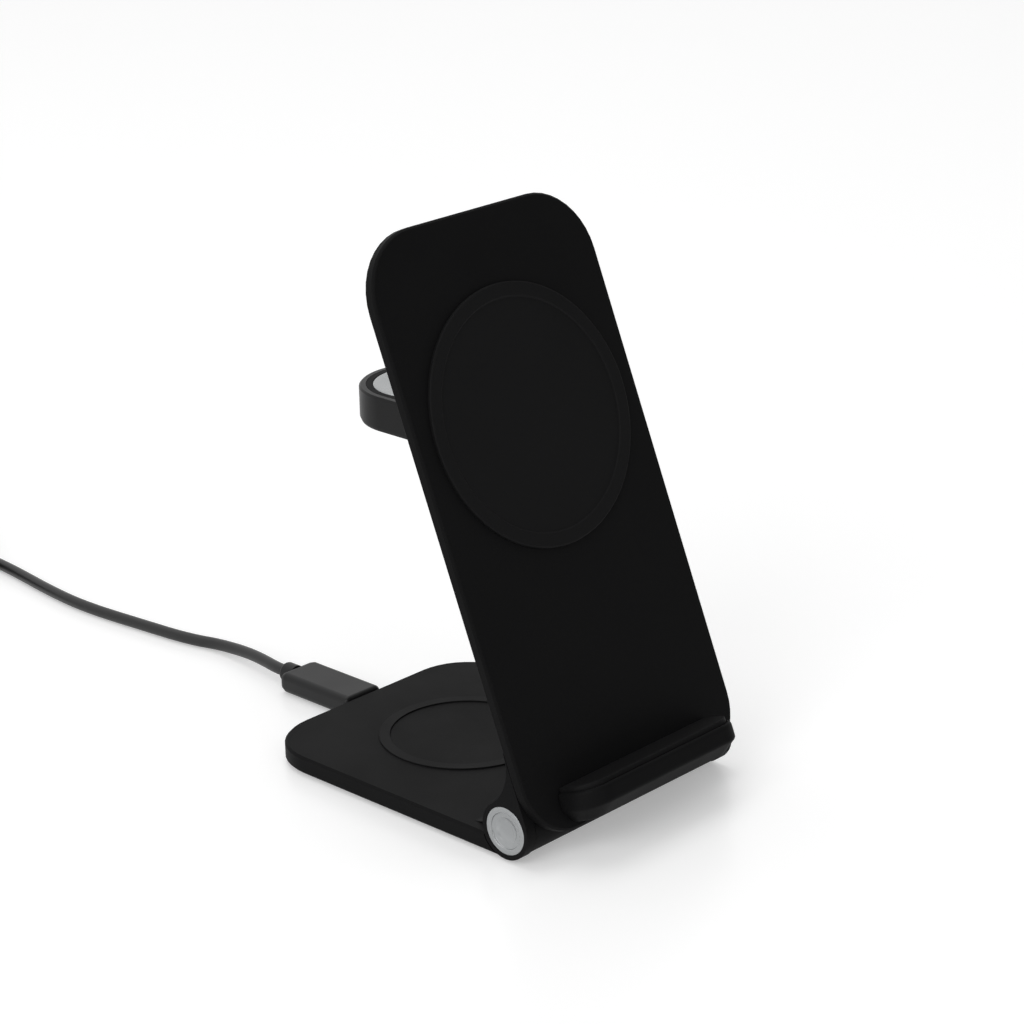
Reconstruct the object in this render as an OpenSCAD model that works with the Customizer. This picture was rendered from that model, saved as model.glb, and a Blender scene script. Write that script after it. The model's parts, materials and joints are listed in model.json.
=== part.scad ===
// Folding desk charger for three devices: a leaning panel with a shelf for a phone,
// a flat base for an earbud case and a swinging arm for a watch, fed by a plugged-in cord.
// Millimetres, +Z up, +Y to the rear. The origin is on the floor below the middle of the charger.

/* [Base] */
// Width of the base across the hinge
base_w = 65; // [63:1:76]
// Distance from the hinge axis to the rear edge of the base
base_reach = 75; // [70:1:84]
// Thickness of the base without its feet
base_t = 4; // [4:0.1:5]
// Radius of the two rear corners of the base
base_corner_r = 14; // [9:1:18]
// Thickness of the top wall of the base
base_top_t = 1.2; // [1:0.1:1.4]
// Thickness of the side walls of the base
base_wall_t = 1.5; // [1.2:0.1:2.4]
// Thickness of the cover under the base
base_cover_t = 1; // [0.8:0.1:1.1]
// Softening of the edges of the base
base_edge = 0.5; // [0.3:0.1:0.8]
// Radius of the sweep from the base's top into its barrel
barrel_fillet_r = 6; // [3:0.5:8]
// Distance from the hinge axis to the front end of the hollow in the base
hollow_front = 9; // [8:0.5:12]
// Distance from the base's sides to its screws
base_screw_inset = 18; // [16:0.5:20]

/* [Feet] */
// Height of the rubber feet
foot_h = 0.7; // [0.5:0.1:1.2]
// Radius of the rubber feet
foot_r = 4; // [3:0.5:5]
// Distance from the base's sides to the feet's centres
foot_inset_x = 9; // [8:0.5:12]
// Distance from the base's rear edge to the rear feet's centres
foot_inset_y = 12; // [11:0.5:16]
// Distance from the hinge axis to the front feet's centres
foot_front_y = 15; // [14:0.5:18]

/* [Earbud pad] */
// Distance from the base's rear edge to the centre of the earbud seat
bud_inset = 32; // [30:1:37]
// Outer radius of the soft ring round the earbud seat
bud_ring_r = 19; // [16:0.5:22]
// Width of the soft ring
bud_ring_w = 2.4; // [1.6:0.2:4]
// Height of the soft ring above the base
bud_ring_rise = 0.3; // [0.2:0.1:0.6]
// Depth of the groove that holds the soft ring
bud_groove = 0.5; // [0.3:0.1:0.7]
// Outer radius of the coil under the earbud seat
bud_coil_r = 15; // [12:0.5:16]
// Inner radius of the coil under the earbud seat
bud_coil_hole_r = 7; // [5:0.5:9]
// Thickness of the coil under the earbud seat
bud_coil_t = 0.8; // [0.6:0.1:0.8]
// Side length of the shield plate under the earbud coil
bud_shield_w = 32; // [28:1:34]
// Thickness of the shield plate under the earbud coil
bud_shield_t = 0.6; // [0.4:0.1:0.6]

/* [Hinge] */
// Radius of the base's barrel
barrel_r = 6.1; // [5.6:0.1:6.6]
// Radius of the panel's end rings
ring_r = 6.3; // [6:0.1:6.6]
// Height of the end rings above the floor
ring_floor_gap = 0.65; // [0.4:0.05:1]
// Thickness of the panel's ears
ear_t = 2.6; // [2.4:0.1:3.4]
// Running gap between an ear and the end of the barrel
ear_gap = 0.3; // [0.2:0.05:0.5]
// Gap round an end ring where the base is cut back
ring_gap = 0.3; // [0.2:0.05:0.5]
// Radius of the hinge shafts
shaft_r = 2; // [1.6:0.1:2.2]
// Radius of the shaft heads
shaft_head_r = 3.5; // [3:0.1:4]
// Thickness of the shaft heads
shaft_head_t = 0.5; // [0.4:0.1:0.6]
// Gap all round a shaft in its sleeve
shaft_gap = 0.04; // [0.02:0.01:0.08]
// Outer radius of the friction sleeves
sleeve_r = 4.2; // [3.6:0.1:4.6]
// Length of the friction sleeves
sleeve_len = 13; // [10:1:18]
// Radius of the round caps in the end rings
cap_r = 5.3; // [4.8:0.1:5.6]
// Thickness of the round caps
cap_t = 1.1; // [0.9:0.1:1.2]
// Gap between pieces that are set into each other
set_gap = 0.05; // [0.03:0.01:0.1]

/* [Panel] */
// Lean of the panel back from upright, in degrees
panel_lean = 22; // [18:0.5:26]
// Height of the panel above the hinge axis, along the panel
panel_h = 123; // [118:1:132]
// Length of the panel below the hinge axis, along the panel
panel_tail = 4; // [3.5:0.5:5]
// Thickness of the panel's front plate
plate_t = 2.45; // [2.2:0.05:3]
// Gap between the barrel and the back of the plate
plate_gap = 0.36; // [0.3:0.02:0.6]
// Radius of the panel's top corners
panel_top_r = 15; // [10:1:20]
// Radius of the panel's bottom corners
panel_bottom_r = 12; // [7:0.5:13]
// Softening of the plate's edges
plate_edge = 0.5; // [0.3:0.1:0.8]
// Radius of the sweep from the plate's back into an end ring
ear_fillet_r = 10.4; // [8:0.2:12]

/* [Rear cover] */
// Distance from the panel's sides and top to the rear cover
cover_inset = 5; // [4:0.5:7]
// Height of the rear cover's lower end above the hinge axis
cover_start = 20; // [18:1:24]
// Depth of the rear cover
cover_depth = 4.5; // [4.2:0.1:5]
// Wall thickness of the rear cover
cover_wall = 1.2; // [1:0.1:1.4]
// Bevel round the back of the rear cover
cover_bevel = 2; // [1:0.25:2.5]
// Radius of the rear cover's corners
cover_corner_r = 11; // [8:0.5:14]

/* [Phone coil and pad] */
// Height of the phone pad's centre above the hinge axis
phone_v = 79; // [74:1:84]
// Radius of the phone pad
phone_pad_r = 28; // [24:0.5:29]
// Thickness of the phone pad at its rim
phone_pad_t = 0.9; // [0.6:0.1:1.2]
// Depth of the hollow inside the phone pad's rim
phone_pad_dish = 0.3; // [0.2:0.1:0.4]
// Width of the phone pad's rim
phone_pad_rim = 3; // [2:0.5:5]
// Outer radius of the phone coil
phone_coil_r = 22; // [18:0.5:24]
// Inner radius of the phone coil
phone_coil_hole_r = 10; // [8:0.5:12]
// Thickness of the phone coil
phone_coil_t = 1.2; // [1:0.1:1.4]
// Depth of the coil's seat in the plate
phone_coil_seat = 0.8; // [0.5:0.1:1]
// Side length of the shield plate behind the phone coil
phone_shield_w = 47; // [46:0.5:49]
// Thickness of the shield plate behind the phone coil
phone_shield_t = 0.8; // [0.6:0.1:1]

/* [Ledge] */
// Length of the phone ledge
ledge_w = 48; // [44:1:56]
// Distance that the ledge stands out from the plate
ledge_depth = 10; // [8:0.5:12]
// Height of the ledge's top above the hinge axis, along the panel
ledge_top_v = 4.3; // [3:0.1:5]
// Height of the ledge's straight front
ledge_front_h = 3.8; // [3:0.1:4.4]
// Height of the taper under the ledge's front
ledge_taper_h = 3; // [2:0.1:3.4]
// Distance that the taper runs back under the ledge
ledge_taper_d = 4.1; // [3:0.1:4.5]
// Radius of the ledge's ends, seen from above
ledge_end_r = 6; // [4:0.5:7]
// Softening of the ledge's top edge
ledge_edge = 0.4; // [0.2:0.1:0.6]
// Thickness of the soft pad on the ledge
ledge_pad_t = 1.4; // [1:0.1:1.8]
// Depth of the recess that holds the ledge's soft pad
ledge_pad_seat = 0.4; // [0.2:0.1:0.6]
// Rim left round the soft pad on the ledge
ledge_pad_inset = 1; // [0.6:0.1:1.4]

/* [Watch arm] */
// Width of the arm
arm_w = 28; // [26:0.5:32]
// Thickness of the arm
arm_t = 8; // [7.6:0.1:9]
// Distance from the arm's pivot to the centre of its round end
arm_reach = 20.3; // [20:0.1:26]
// Height of the arm's pivot above the hinge axis, along the panel
pivot_v = 79.9; // [70:0.1:84]
// Gap between the folded arm and the rear cover
fold_gap = 0.4; // [0.3:0.05:0.8]
// Width of the arm's knuckle between the two lugs
knuckle_w = 20; // [16:0.5:22]
// Gap between the knuckle and each lug
lug_gap = 0.3; // [0.2:0.05:0.5]
// Radius of the arm's pivot pin
pin_r = 1.5; // [1.2:0.1:1.8]
// Gap all round the pin in the knuckle
pin_gap = 0.04; // [0.02:0.01:0.08]
// Wall thickness of the arm's shell
arm_wall = 1.4; // [1.2:0.1:1.6]
// Thickness of the arm's top cover
arm_cover_t = 1.4; // [1.2:0.1:1.6]
// Softening of the arm's lower edge
arm_edge = 1.2; // [0.6:0.1:1.2]
// Softening of the arm's upper edge
arm_top_edge = 0.4; // [0.2:0.1:0.6]
// Radius of the charging disc for the watch
disc_r = 11; // [9.5:0.25:11.5]
// Thickness of the charging disc
disc_t = 1.9; // [1.7:0.1:2.2]
// Depth of the shallow dish in the charging disc
disc_dish = 0.6; // [0.3:0.1:0.8]
// Outer radius of the watch coil
watch_coil_r = 10; // [8:0.5:10.5]
// Inner radius of the watch coil
watch_coil_hole_r = 4.5; // [4:0.25:6]
// Thickness of the watch coil
watch_coil_t = 1; // [0.8:0.1:1.2]
// Thickness of the shield under the watch coil
watch_shield_t = 0.8; // [0.6:0.1:1]
// Radius of the magnet inside the watch coil
magnet_r = 3; // [2:0.25:3.5]

/* [Circuit boards and screws] */
// Thickness of the circuit boards
board_t = 0.8; // [0.6:0.1:0.8]
// Height of the chips on the boards
chip_t = 0.8; // [0.6:0.1:0.9]
// Radius of the screws' shanks
screw_r = 0.8; // [0.6:0.1:0.9]
// Radius of the screws' heads
screw_head_r = 1.6; // [1.4:0.1:1.7]
// Thickness of the screws' heads
screw_head_t = 0.6; // [0.5:0.1:0.7]

/* [Cord] */
// Width of the metal plug shell
plug_w = 8.3; // [8.3:0.1:8.4]
// Height of the metal plug shell
plug_h = 2.4; // [2.3:0.1:2.5]
// Length of the metal plug shell
plug_len = 6.6; // [6.2:0.1:6.8]
// Wall thickness of the metal plug shell
plug_wall = 0.3; // [0.2:0.05:0.4]
// Width of the plug's moulded grip
grip_w = 11; // [10:0.5:12]
// Height of the plug's moulded grip
grip_h = 4.9; // [4.4:0.1:5]
// Length of the plug's moulded grip
grip_len = 22.5; // [18:0.5:26]
// Gap between the socket's face and the plug's grip
grip_gap = 0.3; // [0.2:0.1:0.6]
// Length of the round collar where the cord leaves the plug
relief_len = 4; // [3:0.5:6]
// Thickness of that collar round the cord
relief_wall = 1; // [0.7:0.1:1]
// Diameter of the cord
cord_d = 2.8; // [2.4:0.1:3]
// Mean radius of the cord's coil
coil_r = 15.5; // [14:0.5:16]

/* [Hidden] */
$fn = 64;
corner_fn = 40;
bite = 0.05;
screw_grip = 1.4;
slice = 0.02;
black = "#2b2b2d";
dark = "#39393b";
soft_grey = "#4a4a4c";
cap_grey = "#a9a9a7";
copper = "#b87333";
board_green = "#1f5a3c";
steel = "#b9bcc0";

hinge_z = ring_floor_gap + ring_r;
bud_y = base_reach - bud_inset;
half_w = base_w / 2;
base_top_z = foot_h + base_t;
plate_back = -(barrel_r + plate_gap);
plate_front = plate_back - plate_t;
cover_back = plate_back + cover_depth;
ledge_front = plate_front - ledge_depth;
ledge_fold_v = ledge_top_v - ledge_front_h;
ledge_low_v = ledge_fold_v - ledge_taper_h;
ledge_reach = -(ledge_front * cos(panel_lean) + ledge_fold_v * sin(panel_lean));
hinge_y = (ledge_reach - base_reach) / 2;
barrel_half = half_w - ear_t - ear_gap;

module at_hinge() translate([0, hinge_y, 0]) children();
module on_axis() translate([0, hinge_y, hinge_z]) children();
module in_panel() on_axis() rotate([-panel_lean, 0, 0]) children();
module in_arm() in_panel() translate([0, pivot_y, pivot_v]) rotate([panel_lean, 0, 0]) children();
module along_x(from, to) translate([from, 0, 0]) rotate([90, 0, 90]) linear_extrude(to - from) children();
module facing_front(from, depth) translate([0, from, 0]) rotate([90, 0, 0]) linear_extrude(depth) children();
module both_sides() for (side = [-1, 1]) scale_x(side) children();
module scale_x(side) { if (side < 0) mirror([1, 0, 0]) children(); else children(); }

// Outline with two round corners at its far end, seen from above
module tongue(w, from, to, r) {
    translate([-w / 2, from]) square([w, to - r - from]);
    translate([-w / 2 + r, from]) square([w - 2 * r, to - from]);
    for (x = [-w / 2 + r, w / 2 - r]) translate([x, to - r]) circle(r);
}

// Outline with four round corners of two radii, seen from the front
module panel_outline(inset) {
    w = base_w - 2 * inset;
    low = -panel_tail + inset;
    high = panel_h - inset;
    rt = panel_top_r - inset;
    rb = panel_bottom_r - inset;
    translate([-w / 2, low + rb]) square([w, high - low - rt - rb]);
    translate([-w / 2 + rb, low]) square([w - 2 * rb, rb + bite]);
    translate([-w / 2 + rt, high - rt - bite]) square([w - 2 * rt, rt + bite]);
    for (x = [-1, 1]) {
        translate([x * (w / 2 - rb), low + rb]) circle(rb, $fn = corner_fn);
        translate([x * (w / 2 - rt), high - rt]) circle(rt, $fn = corner_fn);
    }
}

module round_box_2d(w, h, r) {
    square([w - 2 * r, h], center = true);
    square([w, h - 2 * r], center = true);
    for (x = [-1, 1], y = [-1, 1]) translate([x * (w / 2 - r), y * (h / 2 - r)]) circle(r);
}

module ring_2d(outer, inner) difference() { circle(outer); circle(inner); }

// Countersunk-free cheese-head screw, head at the origin, shank along +Z
module screw(len) {
    cylinder(r = screw_head_r, h = screw_head_t);
    cylinder(r = screw_r, h = len);
}
module screw_hole(len) {
    translate([0, 0, -1]) cylinder(r = screw_head_r + set_gap, h = screw_head_t + set_gap + 1);
    translate([0, 0, -1]) cylinder(r = screw_r + set_gap, h = len + 1 + set_gap);
}

// Base
hollow_top_z = base_top_z - base_top_t;
cover_top_z = foot_h + base_cover_t;
hollow_w = base_w - 2 * base_wall_t;
hollow_rear = base_reach - base_wall_t;
hollow_r = base_corner_r - base_wall_t;
slab_front = -1;
plug_z = foot_h + base_t / 2;
socket_w = plug_w + 0.7;
socket_h = plug_h + 0.8;
socket_wall = 0.3;
socket_len = plug_len + 0.9;
socket_block_w = socket_w + 5;
fillet_z = base_top_z + barrel_fillet_r;
fillet_y = sqrt(pow(barrel_r + barrel_fillet_r, 2) - pow(fillet_z - hinge_z, 2));
post_r = 2.4;
board_gap = 0.6;
base_screw_front = 4;
base_screw_rear = 8;
base_screw_spots = [
    for (x = [-1, 1], y = [hollow_front + base_screw_front, base_reach - base_screw_rear])
        [x * (half_w - base_screw_inset), y]
];
foot_spots = [for (x = [-1, 1], y = [foot_front_y, base_reach - foot_inset_y])
    [x * (half_w - foot_inset_x), y]];

module base_slab() {
    hull() {
        translate([0, 0, foot_h + base_edge]) linear_extrude(base_t - 2 * base_edge)
            tongue(base_w, slab_front, base_reach, base_corner_r, $fn = corner_fn);
        translate([0, 0, foot_h]) linear_extrude(base_t)
            tongue(base_w - 2 * base_edge, slab_front, base_reach - base_edge,
                base_corner_r - base_edge, $fn = corner_fn);
    }
}
module barrel_profile() {
    circle(barrel_r);
    difference() {
        polygon([[0, 0], [fillet_y, fillet_z - hinge_z], [fillet_y, base_top_z - hinge_z - bite],
            [0, base_top_z - hinge_z - bite]]);
        translate([fillet_y, fillet_z - hinge_z]) circle(barrel_fillet_r);
    }
}
module socket_pocket() {
    translate([0, base_reach - socket_len - set_gap, plug_z]) rotate([-90, 0, 0])
        linear_extrude(socket_len + 1)
            round_box_2d(socket_w + 2 * set_gap, socket_h + 2 * set_gap, socket_h / 2);
}
module base_tray() color(black) at_hinge() difference() {
    union() {
        base_slab();
        translate([0, 0, hinge_z]) along_x(-barrel_half, barrel_half) barrel_profile();
    }
    both_sides() translate([0, 0, hinge_z]) along_x(barrel_half, half_w + 1) circle(ring_r + ring_gap);
    translate([0, 0, hinge_z]) along_x(-half_w, half_w) circle(sleeve_r + set_gap);
    difference() {
        translate([0, 0, foot_h - 1]) linear_extrude(hollow_top_z - foot_h + 1)
            tongue(hollow_w, hollow_front, hollow_rear, hollow_r);
        translate([-socket_block_w / 2, base_reach - socket_len, 0])
            cube([socket_block_w, socket_len, base_top_z]);
        for (s = base_screw_spots) translate([s[0], s[1], cover_top_z]) cylinder(r = post_r, h = base_t);
    }
    for (s = base_screw_spots) translate([s[0], s[1], foot_h - 1])
        cylinder(r = screw_r + set_gap, h = base_screw_len + 1 + set_gap);
    translate([0, bud_y, base_top_z - bud_groove]) linear_extrude(1)
        ring_2d(bud_ring_r + set_gap, bud_ring_r - bud_ring_w - set_gap);
    socket_pocket();
}
base_screw_len = base_cover_t + screw_grip;
module base_bottom_cover() color(black) at_hinge() difference() {
    translate([0, 0, foot_h]) linear_extrude(base_cover_t) difference() {
        tongue(hollow_w - 2 * set_gap, hollow_front + set_gap, hollow_rear - set_gap, hollow_r - set_gap);
        translate([-socket_block_w / 2 - set_gap, base_reach - socket_len - set_gap])
            square([socket_block_w + 2 * set_gap, socket_len]);
    }
    for (s = base_screw_spots) translate([s[0], s[1], foot_h]) screw_hole(base_screw_len);
}
module base_screws() color(steel) at_hinge()
    for (s = base_screw_spots) translate([s[0], s[1], foot_h]) screw(base_screw_len);
module base_feet() color(soft_grey) at_hinge()
    for (s = foot_spots) translate([s[0], s[1], 0]) rotate_extrude()
        polygon([[0, 0], [foot_r - 0.3, 0], [foot_r, 0.3], [foot_r, foot_h], [0, foot_h]]);
module earbud_ring() color(soft_grey) at_hinge() translate([0, bud_y, base_top_z - bud_groove])
    linear_extrude(bud_groove + bud_ring_rise) ring_2d(bud_ring_r, bud_ring_r - bud_ring_w);
module earbud_coil() color(copper) at_hinge() translate([0, bud_y, hollow_top_z - bud_coil_t])
    linear_extrude(bud_coil_t) ring_2d(bud_coil_r, bud_coil_hole_r);
module earbud_shield() color(dark) at_hinge()
    translate([-bud_shield_w / 2, bud_y - bud_shield_w / 2, hollow_top_z - bud_coil_t - bud_shield_t])
        cube([bud_shield_w, bud_shield_w, bud_shield_t]);
base_board_w = 2 * (half_w - base_screw_inset - post_r - board_gap);
base_board_y = bud_y + bud_shield_w / 2 + board_gap;
base_board_len = base_reach - socket_len - set_gap - base_board_y;
base_chip_w = base_board_len / 2;
base_chip_spots = base_board_w * [-0.36, -0.12, 0.12, 0.36];
module base_board() color(board_green) at_hinge()
    translate([-base_board_w / 2, base_board_y, cover_top_z]) cube([base_board_w, base_board_len, board_t]);
module base_board_chips() color(dark) at_hinge()
    for (x = base_chip_spots)
        translate([x - base_chip_w / 2, base_board_y + base_chip_w / 2, cover_top_z + board_t])
            cube([base_chip_w, base_chip_w, chip_t]);
module usb_socket() color(steel) at_hinge() translate([0, base_reach - socket_len, plug_z])
    rotate([-90, 0, 0]) difference() {
        linear_extrude(socket_len) round_box_2d(socket_w, socket_h, socket_h / 2 - set_gap);
        translate([0, 0, socket_wall]) linear_extrude(socket_len)
            round_box_2d(plug_w + 2 * set_gap, plug_h + 2 * set_gap, plug_h / 2);
    }
tongue_w = plug_w - 2 * plug_wall - 1;
tongue_t = 0.7;
module usb_socket_tongue() color(dark) at_hinge()
    translate([-tongue_w / 2, base_reach - socket_len + socket_wall, plug_z - tongue_t / 2])
        cube([tongue_w, socket_len - 2, tongue_t]);
module hinge_sleeve(side) color(steel) on_axis() scale_x(side)
    along_x(barrel_half - sleeve_len, barrel_half) ring_2d(sleeve_r, shaft_r + shaft_gap);
module hinge_sleeve_left() hinge_sleeve(-1);
module hinge_sleeve_right() hinge_sleeve(1);

// Panel
ear_fillet_y = plate_back + ear_fillet_r;
ear_fillet_v = sqrt(pow(ring_r + ear_fillet_r, 2) - pow(ear_fillet_y, 2));
cover_top_v = panel_h - cover_inset;
cover_w = base_w - 2 * cover_inset;
cover_floor = cover_back - cover_wall;
cap_seat = cap_t + set_gap;
panel_screw_inset = 6;
panel_screw_spots = [for (x = [-1, 1], v = [cover_start + panel_screw_inset, cover_top_v - panel_screw_inset])
    [x * (cover_w / 2 - panel_screw_inset), v]];
panel_screw_len = cover_depth + screw_grip;
ledge_screw_spots = [-16, 0, 16];
ledge_screw_v = 0.6;
ledge_screw_len = plate_t + 3;

module ear_profile() {
    circle(ring_r);
    difference() {
        polygon([[0, 0], [plate_back - bite, 0], [plate_back - bite, ear_fillet_v],
            [ear_fillet_y, ear_fillet_v]]);
        translate([ear_fillet_y, ear_fillet_v]) circle(ear_fillet_r);
    }
}
module plate() hull() {
    facing_front(plate_back - plate_edge / 2, plate_t - 1.5 * plate_edge) panel_outline(0);
    facing_front(plate_back, plate_t - plate_edge / 2) panel_outline(plate_edge / 3);
    facing_front(plate_back, plate_t) panel_outline(plate_edge);
}
module panel_frame() color(black) in_panel() difference() {
    union() {
        plate();
        both_sides() along_x(half_w - ear_t, half_w) ear_profile();
    }
    both_sides() {
        along_x(half_w - cap_seat, half_w + 1) circle(cap_r + set_gap);
        along_x(half_w - cap_seat - shaft_head_t - set_gap, half_w) circle(shaft_head_r + set_gap);
        along_x(half_w - ear_t - 1, half_w) circle(shaft_r + set_gap);
    }
    translate([0, plate_back + 1, phone_v]) rotate([90, 0, 0])
        cylinder(r = phone_coil_r + set_gap, h = phone_coil_seat + 1);
    for (s = panel_screw_spots) translate([s[0], cover_back, s[1]]) rotate([90, 0, 0])
        cylinder(r = screw_r + set_gap, h = panel_screw_len + set_gap);
    for (x = ledge_screw_spots) translate([x, plate_back, ledge_screw_v]) rotate([90, 0, 0])
        screw_hole(ledge_screw_len);
}
module cover_outline(inset, r) translate([0, (cover_start + cover_top_v) / 2])
    round_box_2d(cover_w - 2 * inset, cover_top_v - cover_start - 2 * inset, r, $fn = corner_fn);
lug_r = arm_t / 2;
pivot_y = cover_back + fold_gap + lug_r;
module lug_profile() {
    translate([pivot_y, pivot_v]) circle(lug_r);
    translate([cover_back - bite, pivot_v - lug_r]) square([pivot_y - cover_back + bite, 2 * lug_r]);
}
module panel_rear_cover() color(dark) in_panel() difference() {
    union() {
        difference() {
            hull() {
                facing_front(cover_back - cover_bevel, cover_depth - cover_bevel) cover_outline(0, cover_corner_r);
                facing_front(cover_back, cover_depth) cover_outline(cover_bevel, cover_corner_r - cover_bevel);
                facing_front(cover_back - cover_bevel / 3, cover_depth - cover_bevel / 3)
                    cover_outline(cover_bevel / 3, cover_corner_r - cover_bevel / 3);
            }
            difference() {
                facing_front(cover_floor, cover_depth)
                    cover_outline(cover_wall + cover_bevel, cover_corner_r - cover_wall - cover_bevel);
                for (s = panel_screw_spots) translate([s[0], cover_back, s[1]]) rotate([90, 0, 0])
                    cylinder(r = post_r, h = cover_depth);
            }
        }
        both_sides() along_x(knuckle_w / 2 + lug_gap, arm_w / 2) lug_profile();
    }
    for (s = panel_screw_spots) translate([s[0], cover_back, s[1]]) rotate([90, 0, 0])
        screw_hole(panel_screw_len);
    translate([0, pivot_y, pivot_v]) along_x(-arm_w / 2 - 1, arm_w / 2 + 1) circle(pin_r + set_gap);
}
module panel_screws() color(steel) in_panel()
    for (s = panel_screw_spots) translate([s[0], cover_back, s[1]]) rotate([90, 0, 0])
        screw(panel_screw_len);
module phone_pad() color(soft_grey) in_panel() translate([0, plate_front, phone_v]) rotate([90, 0, 0])
    rotate_extrude() polygon([[0, 0], [phone_pad_r, 0], [phone_pad_r, phone_pad_t - 0.2],
        [phone_pad_r - 0.3, phone_pad_t], [phone_pad_r - phone_pad_rim, phone_pad_t],
        [phone_pad_r - phone_pad_rim - phone_pad_dish, phone_pad_t - phone_pad_dish],
        [0, phone_pad_t - phone_pad_dish]]);
module phone_coil() color(copper) in_panel()
    translate([0, plate_back - phone_coil_seat + phone_coil_t, phone_v]) rotate([90, 0, 0])
        linear_extrude(phone_coil_t) ring_2d(phone_coil_r, phone_coil_hole_r);
phone_coil_back = plate_back - phone_coil_seat + phone_coil_t;
module phone_shield() color(dark) in_panel()
    translate([-phone_shield_w / 2, phone_coil_back, phone_v - phone_shield_w / 2])
        cube([phone_shield_w, phone_shield_t, phone_shield_w]);
panel_board_w = cover_w * 0.58;
panel_board_h = panel_board_w * 0.44;
panel_board_v = cover_start + panel_board_h * 0.6;
panel_chip_w = panel_board_h / 3;
panel_chip_spots = panel_board_w * [-0.34, -0.1, 0.16, 0.37];
module panel_board() color(board_green) in_panel()
    translate([-panel_board_w / 2, plate_back, panel_board_v]) cube([panel_board_w, board_t, panel_board_h]);
module panel_board_chips() color(dark) in_panel()
    for (x = panel_chip_spots)
        translate([x - panel_chip_w / 2, plate_back + board_t, panel_board_v + panel_chip_w])
            cube([panel_chip_w, chip_t, panel_chip_w]);
module ledge_plan(inset, depth) {
    r = min(ledge_end_r - inset, depth);
    w = ledge_w - 2 * inset;
    translate([-w / 2, 0]) square([w, depth - r + bite]);
    translate([-w / 2 + r, 0]) square([w - 2 * r, depth]);
    intersection() {
        for (x = [-1, 1]) translate([x * (w / 2 - r), depth - r]) circle(r, $fn = corner_fn);
        translate([-w / 2, 0]) square([w, depth]);
    }
}
// A slice of the ledge, laid on the plate's front with its depth to the front
module ledge_slice(v, inset, depth, h) translate([0, plate_front, v]) mirror([0, 1, 0])
    linear_extrude(h) ledge_plan(inset, depth);
ledge_pad_v = ledge_top_v - ledge_pad_seat;
module phone_ledge() color(black) in_panel() difference() {
    hull() {
        ledge_slice(ledge_top_v - slice, ledge_edge, ledge_depth - ledge_edge, slice);
        ledge_slice(ledge_top_v - ledge_edge, ledge_edge / 4, ledge_depth - ledge_edge / 4, slice);
        ledge_slice(ledge_fold_v, 0, ledge_depth, ledge_front_h - 2 * ledge_edge);
        ledge_slice(ledge_low_v, ledge_taper_d * 0.6, ledge_depth - ledge_taper_d, slice);
    }
    ledge_slice(ledge_pad_v, ledge_pad_inset - set_gap, ledge_depth - ledge_pad_inset + set_gap,
        ledge_pad_t);
    for (x = ledge_screw_spots) translate([x, plate_back, ledge_screw_v]) rotate([90, 0, 0])
        screw_hole(ledge_screw_len);
}
module ledge_pad() color(soft_grey) in_panel()
    ledge_slice(ledge_pad_v, ledge_pad_inset, ledge_depth - ledge_pad_inset, ledge_pad_t);
module ledge_screws() color(steel) in_panel()
    for (x = ledge_screw_spots) translate([x, plate_back, ledge_screw_v]) rotate([90, 0, 0])
        screw(ledge_screw_len);
shaft_len = ear_t - cap_seat + ear_gap + sleeve_len;
module hinge_shaft(side) color(steel) on_axis() scale_x(side) {
    along_x(half_w - cap_seat - shaft_head_t, half_w - cap_seat) circle(shaft_head_r);
    along_x(half_w - cap_seat - shaft_len, half_w - cap_seat) circle(shaft_r);
}
module hinge_shaft_left() hinge_shaft(-1);
module hinge_shaft_right() hinge_shaft(1);
// Round cap with a raised rim, a groove and a shallow dish
module hinge_cap(side) color(cap_grey) on_axis() scale_x(side)
    translate([half_w - cap_seat, 0, 0]) rotate([0, 90, 0]) rotate_extrude()
        polygon([[0, 0], [cap_r, 0], [cap_r, cap_t - 0.15], [cap_r - 0.15, cap_t], [cap_r - 0.7, cap_t],
            [cap_r - 0.9, cap_t - 0.3], [cap_r - 1.5, cap_t - 0.3], [cap_r - 1.7, cap_t - 0.12],
            [cap_r - 2, cap_t - 0.1], [cap_r - 3, cap_t - 0.35], [cap_r - 4.2, cap_t - 0.48],
            [0, cap_t - 0.5]]);
module hinge_cap_left() hinge_cap(-1);
module hinge_cap_right() hinge_cap(1);
module arm_pin() color(steel) in_panel() translate([0, pivot_y, pivot_v])
    along_x(-arm_w / 2 + 0.2, arm_w / 2 - 0.2) circle(pin_r);

// Watch arm
arm_start = lug_r + 0.35;
arm_half_t = arm_t / 2;
arm_floor_z = -arm_half_t + arm_wall;
arm_cover_z = arm_half_t - arm_cover_t;
arm_tip = arm_reach + arm_w / 2;
arm_rim = 1.5;
arm_hollow_start = arm_start + 1.6;
disc_z = arm_half_t - disc_t;
arm_screw_spots = [for (x = [-1, 1]) [x * 9, arm_hollow_start + 3]];
arm_screw_len = arm_t - arm_cover_t + 0.4;
arm_post_r = 1.9;
stack_post_r = 1;
stack_spots = [for (a = [90, 210, 330]) 7 * [cos(a), sin(a)]];
module arm_outline(inset, from) {
    w = arm_w - 2 * inset;
    translate([-w / 2, from]) square([w, arm_reach - from]);
    translate([0, arm_reach]) circle(w / 2);
}
module arm_body() hull() {
    translate([0, 0, -arm_half_t]) linear_extrude(slice) arm_outline(arm_edge, arm_start);
    translate([0, 0, -arm_half_t + arm_edge * 0.3]) linear_extrude(slice) arm_outline(arm_edge * 0.3, arm_start);
    translate([0, 0, -arm_half_t + arm_edge]) linear_extrude(arm_t - arm_edge - arm_top_edge)
        arm_outline(0, arm_start);
    translate([0, 0, arm_half_t - slice]) linear_extrude(slice) arm_outline(arm_top_edge, arm_start);
}
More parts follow.
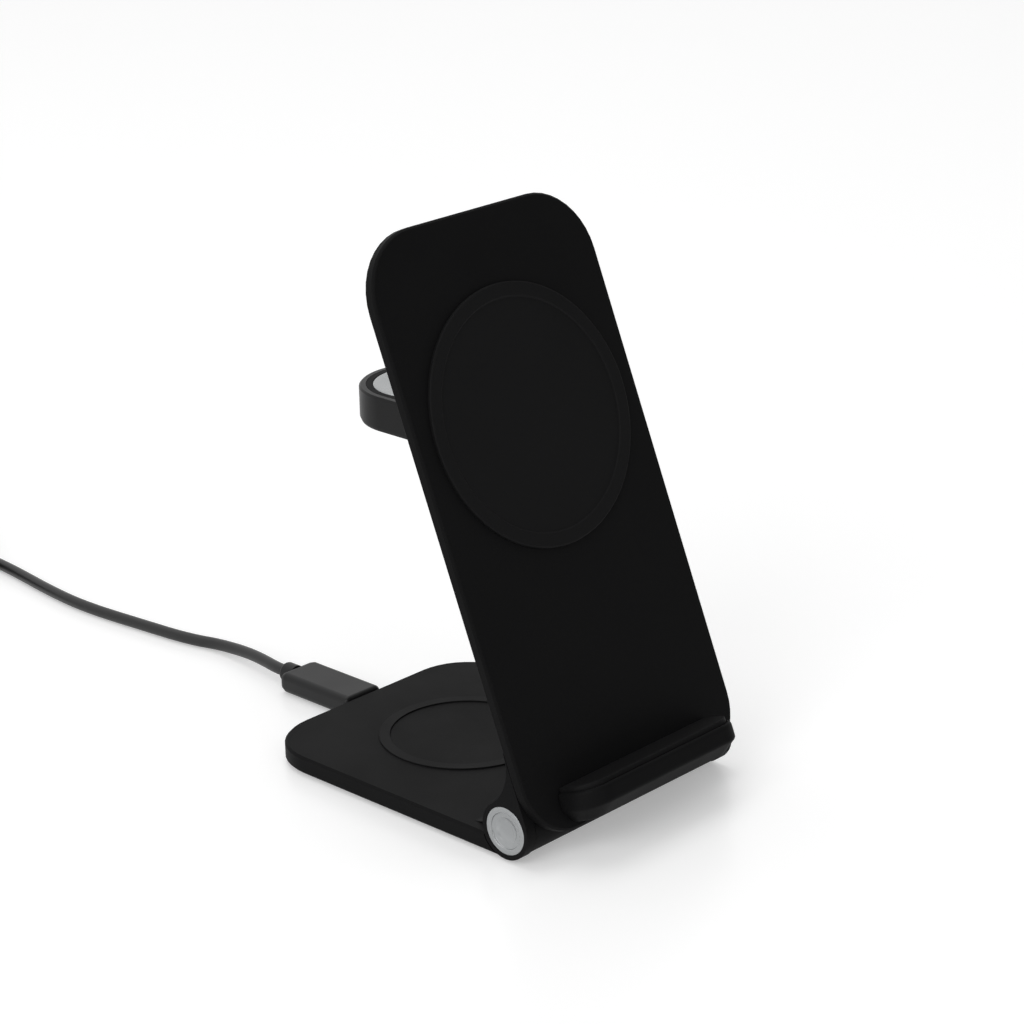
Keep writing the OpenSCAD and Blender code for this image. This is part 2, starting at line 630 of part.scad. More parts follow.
module arm_shell() color(dark) in_arm() difference() {
    union() {
        arm_body();
        along_x(-knuckle_w / 2, knuckle_w / 2) {
            circle(lug_r);
            translate([0, -lug_r]) square([arm_start + bite, arm_t]);
        }
    }
    along_x(-arm_w, arm_w) circle(pin_r + pin_gap);
    translate([0, 0, arm_cover_z]) linear_extrude(arm_t) arm_outline(arm_rim, arm_hollow_start - 1);
    difference() {
        translate([0, 0, arm_floor_z]) linear_extrude(arm_t) arm_outline(arm_rim + 0.8, arm_hollow_start);
        for (s = arm_screw_spots) translate([s[0], s[1], arm_floor_z - 1])
            cylinder(r = arm_post_r, h = arm_cover_z - arm_floor_z + 1);
        for (s = stack_spots) translate([s[0], s[1] + arm_reach, arm_floor_z - 1])
            cylinder(r = stack_post_r, h = stack_z - arm_floor_z + 1);
    }
    for (s = arm_screw_spots) translate([s[0], s[1], -arm_half_t]) screw_hole(arm_screw_len);
}
stack_z = disc_z - watch_coil_t - watch_shield_t;
module arm_top_cover() color(black) in_arm() difference() {
    translate([0, 0, arm_cover_z]) linear_extrude(arm_cover_t)
        arm_outline(arm_rim + set_gap, arm_hollow_start - 1 + set_gap);
    translate([0, arm_reach, 0]) cylinder(r = disc_r + set_gap, h = arm_t);
    for (s = arm_screw_spots) translate([s[0], s[1], 0])
        cylinder(r = screw_r + set_gap, h = arm_screw_len - arm_half_t + set_gap);
}
module watch_disc() color(cap_grey) in_arm() translate([0, arm_reach, disc_z]) rotate_extrude()
    polygon([[0, 0], [disc_r, 0], [disc_r, disc_t - 0.1], [disc_r - 0.3, disc_t + 0.1],
        [disc_r - 1.2, disc_t + 0.1], [disc_r * 0.6, disc_t - disc_dish * 0.7], [0, disc_t - disc_dish]]);
module watch_coil() color(copper) in_arm() translate([0, arm_reach, disc_z - watch_coil_t])
    linear_extrude(watch_coil_t) ring_2d(watch_coil_r, watch_coil_hole_r);
module watch_shield() color(soft_grey) in_arm() translate([0, arm_reach, stack_z])
    cylinder(r = watch_coil_r + 0.4, h = watch_shield_t);
module watch_magnet() color(steel) in_arm() translate([0, arm_reach, disc_z - watch_coil_t])
    cylinder(r = magnet_r, h = watch_coil_t);
module arm_board() color(board_green) in_arm() translate([-6, arm_hollow_start + 0.6, arm_floor_z])
    cube([12, 9, board_t]);
module arm_board_chips() color(dark) in_arm()
    for (x = [-4.5, 0.5]) translate([x, arm_hollow_start + 2, arm_floor_z + board_t])
        cube([4, 4, chip_t]);
module arm_screws() color(steel) in_arm()
    for (s = arm_screw_spots) translate([s[0], s[1], -arm_half_t]) screw(arm_screw_len);

// Cord and plugs
grip_start = base_reach + grip_gap;
relief_end = grip_start + grip_len + relief_len;
cord_r = cord_d / 2;
relief_r = cord_r + relief_wall;
coil_x = -17.7;
coil_y = 230;
coil_rows = 3;
coil_half = coil_rows * cord_r;
tie_w = 8;
tie_t = 0.5;
far_x = -43;
far_end = 226;
far_z = grip_h / 2;
// Centre line of the cord from the strain relief to the coil, seen from the hinge axis
route = [
    [0, relief_end, plug_z], [0, relief_end + 3, plug_z + 0.1], [0.6, 109, 2.8], [1.2, 113, 2.7],
    [1.7, 117, 2.45], [2, 122, 2.05], [1.7, 128, 1.65], [0.4, 134, 1.45], [-0.7, 140, 1.4],
    [-1.5, 147, 1.4], [-2.2, 154, 1.4], [-2.9, 161, 1.4], [-3.4, 168, 1.4], [-3.5, 175, 1.4],
    [-3.1, 182, 1.4], [-2.4, 189, 1.4], [-1.5, 196, 1.4], [-0.6, 203, 1.4], [0.1, 210, 1.4],
    [0.5, 217, 1.4], [0.6, 223, 1.4]
];
// Centre line of the cord from the coil to the far plug
tail_route = [
    [-24.5, 245.6, 6.5], [-28.5, 245.4, 5.6], [-33.5, 244, 3.8], [-38, 241, 2.3], [-41.1, 237, 1.7],
    [-42.6, 232.5, 1.9], [-43, 228.5, 2.4], [far_x, far_end, far_z]
];

// Rings of a round tube of radius r along a list of points
function unit(v) = v / norm(v);
function heading(pts, i) = unit(pts[min(i + 1, len(pts) - 1)] - pts[max(i - 1, 0)]);
function ring_at(pts, i, r, sides) = let (t = heading(pts, i), s = unit(cross(t, [0, 0, 1])), u = cross(s, t))
    [for (k = [0 : sides - 1]) pts[i] + r * (cos(360 * k / sides) * s + sin(360 * k / sides) * u)];
function flat(rows) = [for (row = rows, p = row) p];
module tube(pts, r, sides = 8) {
    n = len(pts);
    faces = concat(
        [[for (k = [0 : sides - 1]) k]],
        [for (i = [0 : n - 2], k = [0 : sides - 1]) let (j = (k + 1) % sides)
            [i * sides + k, (i + 1) * sides + k, (i + 1) * sides + j, i * sides + j]],
        [[for (k = [sides - 1 : -1 : 0]) (n - 1) * sides + k]]);
    polyhedron(flat([for (i = [0 : n - 1]) ring_at(pts, i, r, sides)]), faces);
}

// The pieces of a plug point along -Y, and y is where the cord leaves the strain relief
module shell_piece(x, y, z) translate([x, y - relief_len - grip_len - plug_len, z]) rotate([-90, 0, 0])
    difference() {
        linear_extrude(plug_len) round_box_2d(plug_w, plug_h, plug_h / 2 - set_gap);
        translate([0, 0, -1]) linear_extrude(plug_len)
            round_box_2d(plug_w - 2 * plug_wall, plug_h - 2 * plug_wall, plug_h / 2 - plug_wall - set_gap);
    }
module grip_piece(x, y, z) translate([x, y - relief_len - grip_len, z]) rotate([-90, 0, 0]) hull() {
    linear_extrude(grip_len) round_box_2d(grip_w - 1, grip_h - 1, 1.2, $fn = 32);
    translate([0, 0, 0.6]) linear_extrude(grip_len - 2) round_box_2d(grip_w, grip_h, 1.6, $fn = 32);
}
module relief_piece(x, y, z) translate([x, y - relief_len, z]) rotate([-90, 0, 0]) rotate_extrude()
    polygon([[0, 0], [relief_r, 0], [relief_r, relief_len - relief_wall * 0.9],
        [relief_r - relief_wall * 0.15, relief_len - relief_wall * 0.45],
        [relief_r - relief_wall * 0.5, relief_len - relief_wall * 0.1],
        [relief_r - relief_wall * 0.8, relief_len], [0, relief_len]]);
module plug_shell() color(steel) at_hinge() shell_piece(0, relief_end, plug_z);
module plug_grip() color(black) at_hinge() grip_piece(0, relief_end, plug_z);
module strain_relief() color(black) at_hinge() relief_piece(0, relief_end, plug_z);
module cord() color(black) at_hinge() tube(route, cord_r);
module cord_coil() color(black) at_hinge() translate([coil_x, coil_y, 0]) rotate_extrude()
    translate([coil_r - coil_half, 0]) square(2 * coil_half);
module cord_tie() color(soft_grey) at_hinge() translate([coil_x - tie_w / 2, coil_y - coil_r, 0])
    rotate([90, 0, 90]) linear_extrude(tie_w) difference() {
        translate([-coil_half - tie_t, 0]) square([2 * (coil_half + tie_t), 2 * coil_half + tie_t]);
        translate([-coil_half, tie_t]) square([2 * coil_half, 2 * coil_half - tie_t]);
    }
module cord_tail() color(black) at_hinge() tube(tail_route, cord_r);
module far_strain_relief() color(black) at_hinge() relief_piece(far_x, far_end, far_z);
module far_plug_grip() color(black) at_hinge() grip_piece(far_x, far_end, far_z);
module far_plug_shell() color(steel) at_hinge() shell_piece(far_x, far_end, far_z);

base_tray();
base_bottom_cover();
base_screws();
base_feet();
earbud_ring();
earbud_coil();
earbud_shield();
base_board();
base_board_chips();
usb_socket();
usb_socket_tongue();
hinge_sleeve_left();
hinge_sleeve_right();
panel_frame();
panel_rear_cover();
panel_screws();
phone_pad();
phone_coil();
phone_shield();
panel_board();
panel_board_chips();
phone_ledge();
ledge_pad();
ledge_screws();
hinge_shaft_left();
hinge_shaft_right();
hinge_cap_left();
hinge_cap_right();
arm_pin();
arm_shell();
arm_top_cover();
watch_disc();
watch_coil();
watch_shield();
watch_magnet();
arm_board();
arm_board_chips();
arm_screws();
plug_shell();
plug_grip();
strain_relief();
cord();
cord_coil();
cord_tie();
cord_tail();
far_strain_relief();
far_plug_grip();
far_plug_shell();
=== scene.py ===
import json
import math
import bpy
import bmesh
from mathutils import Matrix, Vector


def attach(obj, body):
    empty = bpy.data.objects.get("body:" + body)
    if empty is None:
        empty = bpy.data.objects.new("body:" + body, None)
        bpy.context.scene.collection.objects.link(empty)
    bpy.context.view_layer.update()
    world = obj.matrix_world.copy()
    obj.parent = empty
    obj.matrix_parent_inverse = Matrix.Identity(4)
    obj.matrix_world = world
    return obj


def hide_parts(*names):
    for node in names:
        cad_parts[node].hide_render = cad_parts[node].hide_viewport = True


# Finish of a black folding desk charger, in metres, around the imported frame.
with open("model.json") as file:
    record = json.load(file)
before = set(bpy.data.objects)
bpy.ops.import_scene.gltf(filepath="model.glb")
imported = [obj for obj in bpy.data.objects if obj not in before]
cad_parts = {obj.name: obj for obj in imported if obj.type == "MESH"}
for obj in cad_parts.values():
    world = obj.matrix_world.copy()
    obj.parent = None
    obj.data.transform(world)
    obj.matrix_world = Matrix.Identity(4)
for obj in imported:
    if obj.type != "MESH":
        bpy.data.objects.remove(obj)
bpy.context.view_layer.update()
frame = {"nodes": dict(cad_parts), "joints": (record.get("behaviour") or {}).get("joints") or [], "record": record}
MM = 0.001
scene = bpy.context.scene
scene.view_settings.view_transform = "Standard"

# Hinge axis, taken from the frame
HINGE = Vector(next(j for j in frame["joints"] if j["name"] == "panel_hinge")["pos_m"])


def from_hinge(x, y, z):
    """A point in millimetres, with y counted from the hinge axis and z from the floor."""
    return Vector((x * MM, HINGE.y + y * MM, z * MM))


# Camera
FOCAL_PX = 2951.7
PICTURE_PX = 1024
CAMERA_AZIMUTH = math.radians(-46.19)
CAMERA_ELEVATION = math.radians(20.51)
CAMERA_ROLL = math.radians(-1.15)
CAMERA_TARGET = from_hinge(1.05, 28.32, 60)
CAMERA_DISTANCE = 0.62373


def make_camera():
    back = Vector((math.sin(CAMERA_AZIMUTH) * math.cos(CAMERA_ELEVATION),
                   -math.cos(CAMERA_AZIMUTH) * math.cos(CAMERA_ELEVATION),
                   math.sin(CAMERA_ELEVATION)))
    right = (-back).cross(Vector((0, 0, 1))).normalized()
    up = right.cross(-back)
    turned_right = math.cos(CAMERA_ROLL) * right + math.sin(CAMERA_ROLL) * up
    turned_up = -math.sin(CAMERA_ROLL) * right + math.cos(CAMERA_ROLL) * up
    data = bpy.data.cameras.new("camera")
    data.lens = FOCAL_PX / PICTURE_PX * data.sensor_width
    data.clip_start = 0.01
    camera = bpy.data.objects.new("camera", data)
    scene.collection.objects.link(camera)
    matrix = camera.matrix_world.copy()
    for row in range(3):
        matrix[row][0] = turned_right[row]
        matrix[row][1] = turned_up[row]
        matrix[row][2] = back[row]
        matrix[row][3] = (CAMERA_TARGET + back * CAMERA_DISTANCE)[row]
    camera.matrix_world = matrix
    scene.camera = camera


make_camera()


# Materials
SLOW_SCALE = 45
NOISE_LOW, NOISE_HIGH = 0.3, 0.7
GRAIN_BUMP = 0.35
STREAK_BUMP = 0.15
STREAK_DEPTH = 0.00002
STREAK_GLOSS = 0.06
STREAK_SCALES = {"X": (60, 4000, 4000), "Y": (4000, 60, 4000)}


def new_material(name):
    material = bpy.data.materials.new(name)
    material.use_nodes = True
    tree = material.node_tree
    return material, tree, tree.nodes["Principled BSDF"]


def add_node(tree, kind, **inputs):
    node = tree.nodes.new(kind)
    for key, value in inputs.items():
        node.inputs[key.replace("_", " ")].default_value = value
    return node


def object_noise(tree, scale, detail=2.0, roughness=0.5):
    coords = tree.nodes.new("ShaderNodeTexCoord")
    noise = add_node(tree, "ShaderNodeTexNoise", Scale=scale, Detail=detail, Roughness=roughness)
    tree.links.new(coords.outputs["Object"], noise.inputs["Vector"])
    return noise


def spread(tree, source, low, high):
    ramp = tree.nodes.new("ShaderNodeMapRange")
    ramp.inputs["From Min"].default_value = NOISE_LOW
    ramp.inputs["From Max"].default_value = NOISE_HIGH
    ramp.inputs["To Min"].default_value = low
    ramp.inputs["To Max"].default_value = high
    tree.links.new(source, ramp.inputs["Value"])
    return ramp.outputs["Result"]


def tint_by(tree, source, low, high):
    mix = tree.nodes.new("ShaderNodeMix")
    mix.data_type = "RGBA"
    mix.inputs["A"].default_value = (*low, 1)
    mix.inputs["B"].default_value = (*high, 1)
    tree.links.new(source, mix.inputs["Factor"])
    return mix.outputs["Result"]


def add_bump(tree, shader, height, strength, distance):
    bump = add_node(tree, "ShaderNodeBump", Strength=strength, Distance=distance)
    tree.links.new(height, bump.inputs["Height"])
    tree.links.new(bump.outputs["Normal"], shader.inputs["Normal"])


def moulded(name, dark, light, rough, rough_spread, grain, grain_depth, specular, ior=1.5, metallic=0.0):
    """Moulded plastic or rubber: a fine eroded grain, with slow changes of tone and gloss."""
    material, tree, shader = new_material(name)
    slow = object_noise(tree, SLOW_SCALE, 3)
    fine = object_noise(tree, grain, 2, 0.6)
    tree.links.new(tint_by(tree, slow.outputs["Fac"], dark, light), shader.inputs["Base Color"])
    tree.links.new(spread(tree, slow.outputs["Fac"], rough - rough_spread, rough + rough_spread),
                   shader.inputs["Roughness"])
    shader.inputs["Specular IOR Level"].default_value = specular
    shader.inputs["IOR"].default_value = ior
    shader.inputs["Metallic"].default_value = metallic
    add_bump(tree, shader, fine.outputs["Fac"], GRAIN_BUMP, grain_depth)
    return material


def metal(name, colour, rough, streak_axis="X"):
    """Plated or turned metal with fine streaks along one axis."""
    material, tree, shader = new_material(name)
    coords = tree.nodes.new("ShaderNodeTexCoord")
    stretch = tree.nodes.new("ShaderNodeMapping")
    stretch.inputs["Scale"].default_value = STREAK_SCALES[streak_axis]
    noise = add_node(tree, "ShaderNodeTexNoise", Scale=1.0, Detail=3.0)
    tree.links.new(coords.outputs["Object"], stretch.inputs["Vector"])
    tree.links.new(stretch.outputs["Vector"], noise.inputs["Vector"])
    shader.inputs["Metallic"].default_value = 1.0
    tree.links.new(tint_by(tree, noise.outputs["Fac"], [0.92 * c for c in colour], colour),
                   shader.inputs["Base Color"])
    tree.links.new(spread(tree, noise.outputs["Fac"], rough - STREAK_GLOSS, rough + STREAK_GLOSS),
                   shader.inputs["Roughness"])
    add_bump(tree, shader, noise.outputs["Fac"], STREAK_BUMP, STREAK_DEPTH)
    return material


def wound_wire(name, colour, pitch):
    """Flat coil of enamelled wire, with rings of wire about its own middle; the darker half of each ring is
    painted shade between the turns.
    """
    material, tree, shader = new_material(name)
    wave = add_node(tree, "ShaderNodeTexWave", Scale=0.5 / pitch, Distortion=0.2)
    wave.wave_type = "RINGS"
    wave.rings_direction = "Z"
    coords = tree.nodes.new("ShaderNodeTexCoord")
    tree.links.new(coords.outputs["Object"], wave.inputs["Vector"])
    # The half-bright colour is painted shade in the grooves between the turns of wire.
    tree.links.new(tint_by(tree, wave.outputs["Fac"], [0.5 * c for c in colour], colour),
                   shader.inputs["Base Color"])
    shader.inputs["Roughness"].default_value = 0.35
    shader.inputs["Metallic"].default_value = 0.6
    add_bump(tree, shader, wave.outputs["Fac"], 0.4, 0.0001)
    return material


def woven(name, dark, light, pitch):
    """Narrow woven tape, darker between the thread crossings as painted shade."""
    material, tree, shader = new_material(name)
    coords = tree.nodes.new("ShaderNodeTexCoord")
    waves = []
    for axis in ("X", "Z"):
        wave = add_node(tree, "ShaderNodeTexWave", Scale=0.32 / pitch, Distortion=0.6)
        wave.bands_direction = axis
        tree.links.new(coords.outputs["Object"], wave.inputs["Vector"])
        waves.append(wave)
    product = tree.nodes.new("ShaderNodeMath")
    product.operation = "MULTIPLY"
    for index, wave in enumerate(waves):
        tree.links.new(wave.outputs["Fac"], product.inputs[index])
    # The dark colour is painted shade between the thread crossings.
    tree.links.new(tint_by(tree, product.outputs[0], dark, light), shader.inputs["Base Color"])
    shader.inputs["Roughness"].default_value = 0.85
    add_bump(tree, shader, product.outputs[0], 0.6, 0.0002)
    return material


MATERIALS = {
    "matte_black": moulded("matte_black", (0.0044, 0.0044, 0.0046), (0.0060, 0.0060, 0.0062),
                           0.60, 0.05, 3000, 0.00007, 0.3, 1.2),
    "satin_dark": moulded("satin_dark", (0.0044, 0.0044, 0.0046), (0.0060, 0.0060, 0.0063),
                          0.38, 0.05, 5200, 0.00004, 0.5, 1.25),
    "silicone": moulded("silicone", (0.0052, 0.0052, 0.0054), (0.0070, 0.0070, 0.0073),
                        0.64, 0.05, 3600, 0.00004, 0.4, 1.22),
    "cap_grey": moulded("cap_grey", (0.325, 0.335, 0.34), (0.355, 0.365, 0.37),
                        0.26, 0.04, 4200, 0.00002, 0.5, 1.5, 0.7),
    "copper_wire": wound_wire("copper_wire", (0.72, 0.33, 0.16), 0.0003),
    "shield_plate": moulded("shield_plate", (0.05, 0.05, 0.052), (0.075, 0.075, 0.078),
                            0.6, 0.08, 2500, 0.00006, 0.3),
    "circuit_board": moulded("circuit_board", (0.01, 0.085, 0.035), (0.014, 0.12, 0.05),
                             0.3, 0.05, 900, 0.00003, 0.5),
    "chip_black": moulded("chip_black", (0.012, 0.012, 0.012), (0.02, 0.02, 0.02),
                          0.5, 0.06, 6000, 0.00004, 0.35),
    "screw_steel": metal("screw_steel", (0.26, 0.26, 0.27), 0.46),
    "shaft_steel": metal("shaft_steel", (0.40, 0.40, 0.42), 0.42, "Y"),
    "plug_metal": metal("plug_metal", (0.72, 0.72, 0.74), 0.24),
    "plug_black": moulded("plug_black", (0.0055, 0.0055, 0.0058), (0.0080, 0.0080, 0.0084),
                          0.44, 0.05, 4600, 0.00004, 0.26),
    "cord_black": moulded("cord_black", (0.0085, 0.0085, 0.0085), (0.0120, 0.0120, 0.0120),
                          0.38, 0.05, 2600, 0.00003, 0.42),
    "tie_fabric": woven("tie_fabric", (0.008, 0.008, 0.0085), (0.03, 0.03, 0.031), 0.0006),
}
SLOT_OF = {row["node"]: row["material_slot"] for row in frame["record"]["subparts"]}
BODY_OF = {node: body for body, nodes in frame["record"]["behaviour"]["bodies"].items() for node in nodes}


def paint(obj, slot_name):
    obj.data.materials.clear()
    obj.data.materials.append(MATERIALS[slot_name])


for node_name, node_object in frame["nodes"].items():
    paint(node_object, SLOT_OF[node_name])


# Cord: one line from the plug on the charger, round the coil and out to the far plug
CORD_D = 2.8
CORD_Z = CORD_D / 2
COIL_X, COIL_Y, COIL_R = -17.7, 230, 15.5
ROUTE = [(0, 101.8, 2.7), (0, 104.8, 2.8), (0.6, 109, 2.8), (1.2, 113, 2.7), (1.7, 117, 2.45),
         (2, 122, 2.05), (1.7, 128, 1.65), (0.4, 134, 1.45), (-0.7, 140, 1.4), (-1.5, 147, 1.4),
         (-2.2, 154, 1.4), (-2.9, 161, 1.4), (-3.4, 168, 1.4), (-3.5, 175, 1.4), (-3.1, 182, 1.4),
         (-2.4, 189, 1.4), (-1.5, 196, 1.4), (-0.6, 203, 1.4), (0.1, 210, 1.4), (0.5, 217, 1.4),
         (0.6, 223, 1.4)]
TAIL_ROUTE = [(-24.5, 245.6, 6.5), (-28.5, 245.4, 5.6), (-33.5, 244, 3.8), (-38, 241, 2.3),
              (-41.1, 237, 1.7), (-42.6, 232.5, 1.9), (-43, 228.5, 2.4), (-43, 226, 2.45)]
# Row of each turn in the coil's section: steps out from the middle, and layer from the floor
TURNS = [(1, 0), (0, 0), (-1, 0), (-1, 1), (0, 1), (1, 1), (1, 2), (0, 2), (0, 2)]
STEPS_PER_TURN = 24
TURNS_TOTAL = 8.25
# The last share of a turn in which the cord crosses to the next turn's row
CROSSING = 0.25
# Keeps the curve between its points from dipping below the floor
FLOOR_CLEARANCE = 0.03


def coil_points():
    points = []
    last = int(TURNS_TOTAL * STEPS_PER_TURN)
    for step in range(1, last):
        turn = step / STEPS_PER_TURN
        here = min(int(turn), len(TURNS) - 1)
        there = min(here + 1, len(TURNS) - 1)
        blend = max(0.0, (turn - here - (1 - CROSSING)) / CROSSING)
        blend = blend * blend * (3 - 2 * blend)
        out = TURNS[here][0] + (TURNS[there][0] - TURNS[here][0]) * blend
        layer = TURNS[here][1] + (TURNS[there][1] - TURNS[here][1]) * blend
        radius = COIL_R + out * CORD_D
        angle = 2 * math.pi * turn
        points.append((COIL_X + radius * math.cos(angle), COIL_Y + radius * math.sin(angle),
                       CORD_Z + layer * CORD_D))
    return points


def line_length(points):
    return sum((b - a).length for a, b in zip(points, points[1:]))


def make_cord():
    lowest = CORD_Z + FLOOR_CLEARANCE
    points = [from_hinge(x, y, max(z, lowest)) for x, y, z in ROUTE + coil_points() + TAIL_ROUTE]
    curve = bpy.data.curves.new("cord_line", "CURVE")
    curve.dimensions = "3D"
    curve.resolution_u = 6
    curve.bevel_depth = CORD_D / 2 * MM
    curve.bevel_resolution = 6
    curve.use_fill_caps = True
    spline = curve.splines.new("BEZIER")
    spline.bezier_points.add(len(points) - 1)
    for knot, place in zip(spline.bezier_points, points):
        knot.co = place
        knot.handle_left_type = "AUTO"
        knot.handle_right_type = "AUTO"
    cord = bpy.data.objects.new("cord_line", curve)
    scene.collection.objects.link(cord)
    paint(cord, "cord_black")
    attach(cord, "base")
    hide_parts("cord", "cord_coil", "cord_tail")
    return cord, line_length(points)


cord, cord_length = make_cord()


# Moulded and turned pieces with their edges broken, in place of the CAD's own
WELD = 0.002
FLAT_DEGREES = 0.4
SHARP_DEGREES = 32
BEVEL_SEGMENTS = 3
SHADING_WEIGHT = 60


def stand_in(piece, node):
    """The piece takes its finish and body from a CAD node, and is shown instead of it."""
    scene.collection.objects.link(piece)
    paint(piece, SLOT_OF[node])
    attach(piece, BODY_OF[node])
    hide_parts(node)


def merged_copy(node):
    """A copy of a node's mesh, with its flat faces whole and its shading smooth."""
    mesh = frame["nodes"][node].data.copy()
    shape = bmesh.new()
    shape.from_mesh(mesh)
    bmesh.ops.remove_doubles(shape, verts=shape.verts, dist=WELD * MM)
    bmesh.ops.dissolve_limit(shape, angle_limit=math.radians(FLAT_DEGREES), verts=shape.verts,
                             edges=shape.edges)
    shape.to_mesh(mesh)
    shape.free()
    if mesh.has_custom_normals:
        mesh.attributes.remove(mesh.attributes["custom_normal"])
    for face in mesh.polygons:
        face.use_smooth = True
    return bpy.data.objects.new(node + "_finished", mesh)


def soften(node, width):
    """The node with its sharp edges rounded by width millimetres."""
    piece = merged_copy(node)
    bevel = piece.modifiers.new("edges", "BEVEL")
    bevel.width = width * MM
    bevel.segments = BEVEL_SEGMENTS
    bevel.limit_method = "ANGLE"
    bevel.angle_limit = math.radians(SHARP_DEGREES)
    bevel.harden_normals = False
    bevel.use_clamp_overlap = True
    weighted = piece.modifiers.new("shading", "WEIGHTED_NORMAL")
    weighted.keep_sharp = True
    weighted.weight = SHADING_WEIGHT
    stand_in(piece, node)


EDGE_WIDTHS = {
    "panel_frame": 0.22, "base_tray": 0.22, "panel_rear_cover": 0.2,
    "arm_shell": 0.2, "arm_top_cover": 0.2, "base_bottom_cover": 0.15,
    "ledge_pad": 0.25, "plug_grip": 0.3, "far_plug_grip": 0.3,
    "strain_relief": 0.15, "far_strain_relief": 0.15, "watch_disc": 0.1,
    "phone_pad": 0.1, "base_feet": 0.12, "earbud_ring": 0.1,
}
for node_name, edge_width in EDGE_WIDTHS.items():
    soften(node_name, edge_width)


# Ledge: rounded like a pebble, by smoothing a fine even mesh of it
LEDGE_GRID = 0.22
LEDGE_SMOOTHINGS = 16


def soften_ledge():
    ledge = merged_copy("phone_ledge")
    even = ledge.modifiers.new("even", "REMESH")
    even.mode = "VOXEL"
    even.voxel_size = LEDGE_GRID * MM
    even.use_smooth_shade = True
    rounded = ledge.modifiers.new("rounded", "SMOOTH")
    rounded.factor = 0.5
    rounded.iterations = LEDGE_SMOOTHINGS
    stand_in(ledge, "phone_ledge")


soften_ledge()


# Hinge caps: a flat rim, a step and a shallow dish, turned about the hinge axis
HALF_WIDTH = 32.5
CAP_SEAT = 1.15
CAP_BACK = HALF_WIDTH - CAP_SEAT
CAP_STEPS = 128
# Radius and height above the cap's back, from its edge to its middle
CAP_PROFILE = [(5.3, 0), (5.3, 0.92), (5.25, 1.02), (5.15, 1.08), (5.05, 1.1), (4.16, 1.1), (4.06, 1.07),
               (3.99, 0.98), (3.95, 0.82), (3.9, 0.74), (3.8, 0.7), (3.0, 0.66), (2.88, 0.63), (2.78, 0.56),
               (2.5, 0.42), (2.1, 0.3), (1.6, 0.2), (1.0, 0.13), (0.3, 0.1)]


def cap_ring(shape, side, radius, height):
    ring = []
    for step in range(CAP_STEPS):
        angle = 2 * math.pi * step / CAP_STEPS
        place = Vector((side * (CAP_BACK + height), radius * math.cos(angle), radius * math.sin(angle)))
        ring.append(shape.verts.new(HINGE + place * MM))
    return ring


def turned_cap(node, side):
    shape = bmesh.new()
    rings = [cap_ring(shape, side, radius, height) for radius, height in CAP_PROFILE]
    for near, far in zip(rings, rings[1:]):
        for step in range(CAP_STEPS):
            after = (step + 1) % CAP_STEPS
            shape.faces.new((near[step], near[after], far[after], far[step]))
    shape.faces.new(rings[0])
    shape.faces.new(rings[-1])
    bmesh.ops.recalc_face_normals(shape, faces=shape.faces)
    mesh = bpy.data.meshes.new(node + "_turned")
    shape.to_mesh(mesh)
    shape.free()
    for face in mesh.polygons:
        face.use_smooth = len(face.vertices) == 4
    stand_in(bpy.data.objects.new(node + "_turned", mesh), node)


turned_cap("hinge_cap_left", -1)
turned_cap("hinge_cap_right", 1)


# Floor, light and surroundings
FLOOR_HALF = 4.0
FLOOR_GREY = 0.82
FLOOR_ROUGHNESS = 0.3
FLOOR_SPECULAR = 0.3
FLOOR_GLOW = 0.30
WORLD_LIGHT = 0.45
ROOM_FRONT, ROOM_REAR = -0.45, 0.35
ROOM_DIM = 0.12


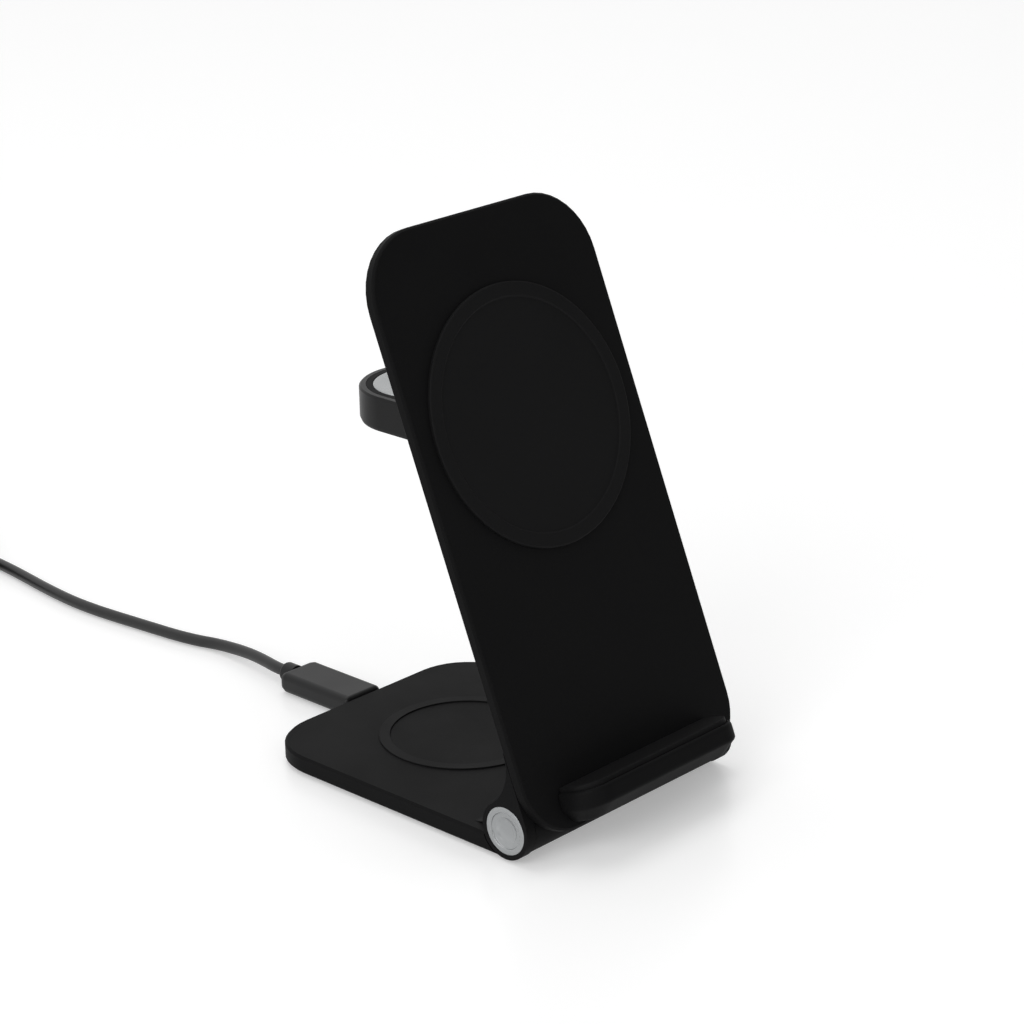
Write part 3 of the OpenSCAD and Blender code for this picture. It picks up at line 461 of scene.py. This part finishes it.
def make_floor():
    mesh = bpy.data.meshes.new("floor")
    corners = [(x * FLOOR_HALF, y * FLOOR_HALF, 0) for x, y in ((-1, -1), (1, -1), (1, 1), (-1, 1))]
    mesh.from_pydata(corners, [], [(0, 1, 2, 3)])
    floor = bpy.data.objects.new("floor", mesh)
    scene.collection.objects.link(floor)
    material, tree, shader = new_material("floor_white")
    shader.inputs["Base Color"].default_value = (FLOOR_GREY, FLOOR_GREY, FLOOR_GREY, 1)
    shader.inputs["Roughness"].default_value = FLOOR_ROUGHNESS
    shader.inputs["Specular IOR Level"].default_value = FLOOR_SPECULAR
    path = tree.nodes.new("ShaderNodeLightPath")
    seen = tree.nodes.new("ShaderNodeMath")
    seen.operation = "MAXIMUM"
    tree.links.new(path.outputs["Is Camera Ray"], seen.inputs[0])
    tree.links.new(path.outputs["Is Glossy Ray"], seen.inputs[1])
    level = tree.nodes.new("ShaderNodeMath")
    level.operation = "MULTIPLY"
    level.inputs[1].default_value = FLOOR_GLOW
    tree.links.new(seen.outputs[0], level.inputs[0])
    shader.inputs["Emission Color"].default_value = (1, 1, 1, 1)
    tree.links.new(level.outputs[0], shader.inputs["Emission Strength"])
    floor.data.materials.append(material)


def make_world():
    world = bpy.data.worlds.new("studio")
    world.use_nodes = True
    tree = world.node_tree
    background = tree.nodes["Background"]
    background.inputs["Color"].default_value = (1, 1, 1, 1)
    path = tree.nodes.new("ShaderNodeLightPath")
    # Only reflections meet the room, which is white at the rear and dimmer towards the front
    coords = tree.nodes.new("ShaderNodeTexCoord")
    split = tree.nodes.new("ShaderNodeSeparateXYZ")
    tree.links.new(coords.outputs["Generated"], split.inputs[0])
    room = tree.nodes.new("ShaderNodeMapRange")
    room.inputs["From Min"].default_value = ROOM_FRONT
    room.inputs["From Max"].default_value = ROOM_REAR
    room.inputs["To Min"].default_value = ROOM_DIM
    room.inputs["To Max"].default_value = 1.0
    tree.links.new(split.outputs["Y"], room.inputs["Value"])
    strength = tree.nodes.new("ShaderNodeMapRange")
    strength.inputs["To Min"].default_value = WORLD_LIGHT
    tree.links.new(path.outputs["Is Glossy Ray"], strength.inputs["Value"])
    tree.links.new(room.outputs["Result"], strength.inputs["To Max"])
    backdrop = tree.nodes.new("ShaderNodeMapRange")
    backdrop.inputs["To Max"].default_value = 1.0
    tree.links.new(path.outputs["Is Camera Ray"], backdrop.inputs["Value"])
    tree.links.new(strength.outputs["Result"], backdrop.inputs["To Min"])
    tree.links.new(backdrop.outputs["Result"], background.inputs["Strength"])
    scene.world = world


LAMP_AIM = Vector((0, 0, 0.05))


def soft_lamp(name, place, size, power):
    data = bpy.data.lights.new(name, "AREA")
    data.shape = "SQUARE"
    data.size = size
    data.energy = power
    lamp = bpy.data.objects.new(name, data)
    scene.collection.objects.link(lamp)
    lamp.location = place
    lamp.rotation_euler = (LAMP_AIM - Vector(place)).to_track_quat("-Z", "Y").to_euler()


make_floor()
make_world()
soft_lamp("key_left", (-1.1, -0.25, 0.75), 0.8, 7.0)
soft_lamp("fill_front", (-0.35, -1.2, 0.55), 0.7, 2.2)
soft_lamp("top", (0.1, 0.35, 1.3), 1.0, 4.5)

bpy.context.view_layer.update()
